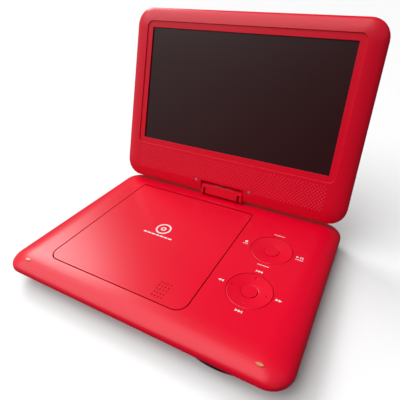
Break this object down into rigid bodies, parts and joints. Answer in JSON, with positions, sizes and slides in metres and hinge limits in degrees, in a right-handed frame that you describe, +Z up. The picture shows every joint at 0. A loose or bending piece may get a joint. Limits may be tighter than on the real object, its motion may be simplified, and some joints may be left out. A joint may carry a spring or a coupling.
{
  "type": "portable dvd player",
  "caption": "Clamshell disc player with a wide screen on a tilt and swivel hinge, a rounded base, a hinged disc lid and round keys.",
  "frame": {"origin": "on the table, under the middle of the bounding box of the player as it stands open", "axes": "+X to the user's right, +Y from the front lip to the back, +Z up from the table"},
  "size_m": [0.242, 0.222, 0.1946],
  "materials": {
    "case_red": "satin",
    "dark_plastic": "matte",
    "steel": "brushed",
    "rubber": "matte",
    "board": "satin",
    "white_plastic": "matte",
    "brass": "satin",
    "bumper": "satin",
    "display": "gloss",
    "ir_dark": "gloss",
    "battery_wrap": "satin",
    "lens": "clear",
    "av_yellow": "satin"
  },
  "bodies": {
    "base": {"base_top_case": "case_red", "base_bottom_case": "case_red", "disc_well": "dark_plastic", "ir_window": "ir_dark", "closing_bumpers": "bumper", "rubber_feet": "rubber", "case_screws": "steel", "bracket_screws": "steel", "hinge_bracket": "steel", "lid_hinge_pins": "steel", "lid_switch": "dark_plastic", "traverse_frame": "steel", "guide_rods": "steel", "damper_bushings": "rubber", "spindle_motor": "steel", "sled_motor": "steel", "main_board": "board", "main_chips": "dark_plastic", "button_board": "board", "button_domes": "steel", "battery_pack": "battery_wrap", "headphone_jack_a": "dark_plastic", "headphone_jack_b": "dark_plastic", "av_jack": "av_yellow", "dc_jack": "dark_plastic", "usb_port": "steel", "card_slot": "steel", "power_switch": "dark_plastic", "latch_spring": "steel", "lift_spring": "steel"},
    "lid": {"disc_lid": "case_red"},
    "latch": {"lid_latch": "dark_plastic"},
    "plunger": {"lift_plunger": "white_plastic"},
    "nav_key": {"nav_ring": "case_red"},
    "ok_key": {"ok_button": "case_red"},
    "mode_key": {"mode_ring": "case_red"},
    "mode_centre_key": {"mode_button": "case_red"},
    "power_knob": {"power_slider": "case_red"},
    "spindle": {"spindle_rotor": "dark_plastic", "hub_cap": "steel"},
    "sled": {"pickup_sled": "dark_plastic"},
    "lens": {"pickup_lens": "lens"},
    "screw": {"lead_screw": "brass"},
    "hinge_block": {"hinge_block_front": "case_red", "hinge_block_rear": "case_red", "hinge_core": "steel", "tilt_shafts": "steel", "tilt_washers": "brass", "swivel_shaft": "steel", "swivel_clip": "steel"},
    "screen": {"screen_bezel": "case_red", "screen_rear_cover": "case_red", "lcd_panel": "display", "lcd_backlight": "white_plastic", "lcd_board": "board", "speaker_left": "dark_plastic", "speaker_right": "dark_plastic", "swivel_bracket": "steel", "screen_screws": "steel", "display_cable": "dark_plastic"}
  },
  "joints": [
    {"name": "screen_tilt", "type": "hinge", "parent": "base", "child": "hinge_block", "pos_m": [0, 0.05747, 0.0322], "axis": [-1, 0, 0], "range_deg": [-106.5, 25]},
    {"name": "screen_swivel", "type": "hinge", "parent": "hinge_block", "child": "screen", "pos_m": [0, 0.05747, 0.0322], "axis": [0, 0.284, 0.9588], "range_deg": [0, 180]},
    {"name": "lid_hinge", "type": "hinge", "parent": "base", "child": "lid", "pos_m": [-0.0239, 0.03887, 0.0218], "axis": [-1, 0, 0], "range_deg": [0, 50]},
    {"name": "lift_slide", "type": "slide", "parent": "base", "child": "plunger", "axis": [0, 0, 1], "range_m": [0, 0.003], "deforming": ["lift_spring"]},
    {"name": "latch_slide", "type": "slide", "parent": "base", "child": "latch", "axis": [0, -1, 0], "range_m": [0, 0.002], "stiffness_N_per_m": 150, "springref_m": -0.002, "deforming": ["latch_spring"]},
    {"name": "nav_press", "type": "slide", "parent": "base", "child": "nav_key", "axis": [0, 0, -1], "range_m": [0, 0.0007], "stiffness_N_per_m": 700, "springref_m": -0.0005},
    {"name": "ok_press", "type": "slide", "parent": "base", "child": "ok_key", "axis": [0, 0, -1], "range_m": [0, 0.0007], "stiffness_N_per_m": 700, "springref_m": -0.0005},
    {"name": "mode_press", "type": "slide", "parent": "base", "child": "mode_key", "axis": [0, 0, -1], "range_m": [0, 0.0007], "stiffness_N_per_m": 700, "springref_m": -0.0005},
    {"name": "mode_centre_press", "type": "slide", "parent": "base", "child": "mode_centre_key", "axis": [0, 0, -1], "range_m": [0, 0.0007], "stiffness_N_per_m": 700, "springref_m": -0.0005},
    {"name": "power_slide", "type": "slide", "parent": "base", "child": "power_knob", "axis": [0, 1, 0], "range_m": [0, 0.003]},
    {"name": "spindle_spin", "type": "hinge", "parent": "base", "child": "spindle", "pos_m": [-0.0239, -0.02523, 0.0178], "axis": [0, 0, 1], "continuous": true},
    {"name": "sled_slide", "type": "slide", "parent": "base", "child": "sled", "axis": [-1, 0, 0], "range_m": [0, 0.032]},
    {"name": "screw_turn", "type": "hinge", "parent": "base", "child": "screw", "pos_m": [-0.0239, 0.00077, 0.0084], "axis": [1, 0, 0], "range_deg": [0, 3841]},
    {"name": "lens_focus", "type": "slide", "parent": "sled", "child": "lens", "axis": [0, 0, 1], "range_m": [-0.0004, 0.0004], "stiffness_N_per_m": 100}
  ],
  "couplings": [
    {"joint": "lift_slide", "follows": "lid_hinge", "m_per_rad": 0.0034},
    {"joint": "screw_turn", "follows": "sled_slide", "rad_per_m": 2094.4}
  ]
}
